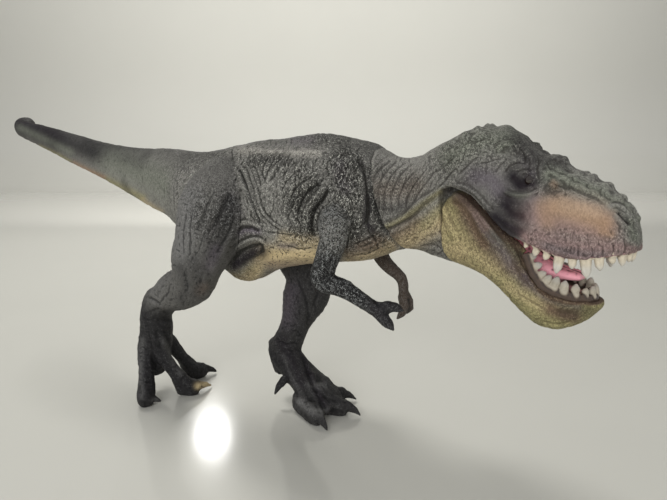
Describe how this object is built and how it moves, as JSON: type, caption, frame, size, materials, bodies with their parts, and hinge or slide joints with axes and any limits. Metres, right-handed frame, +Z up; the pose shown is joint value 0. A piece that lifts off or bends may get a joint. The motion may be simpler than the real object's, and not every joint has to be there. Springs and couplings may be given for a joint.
{
  "type": "toy dinosaur figure",
  "caption": "Striding two-legged toy theropod with long raised tail, small arms, big head turned to the side and a hinged lower jaw that opens wide.",
  "frame": {"origin": "on the floor under the middle of the figure's bounding box", "axes": "+X toward the snout along the trunk, +Y to the animal's left, +Z up"},
  "size_m": [0.3714, 0.0674, 0.1451],
  "materials": {
    "body_skin": "matt painted soft plastic, scaly",
    "tail_skin": "matt painted soft plastic, scaly",
    "leg_skin": "matt painted soft plastic, wrinkled",
    "arm_skin": "matt painted soft plastic, dry brushed",
    "head_skin": "matt painted soft plastic, scaly",
    "jaw_skin": "matt painted soft plastic, pebbled",
    "teeth": "satin painted",
    "tongue": "satin painted",
    "eye": "high gloss bead",
    "pin": "plain steel wire"
  },
  "bodies": {
    "figure": {"torso": "body_skin", "tail": "tail_skin", "right_leg": "leg_skin", "left_leg": "leg_skin", "right_arm": "arm_skin", "left_arm": "arm_skin", "head": "head_skin", "upper_teeth": "teeth", "right_eye": "eye", "left_eye": "eye", "jaw_pin": "pin"},
    "jaw": {"lower_jaw": "jaw_skin", "lower_teeth": "teeth", "tongue": "tongue"}
  },
  "joints": [
    {"name": "jaw_hinge", "type": "hinge", "parent": "figure", "child": "jaw", "pos_m": [0.13537, -0.00561, 0.103], "axis": [0.2588, 0.9659, 0], "range_deg": [-11, 0]}
  ]
}
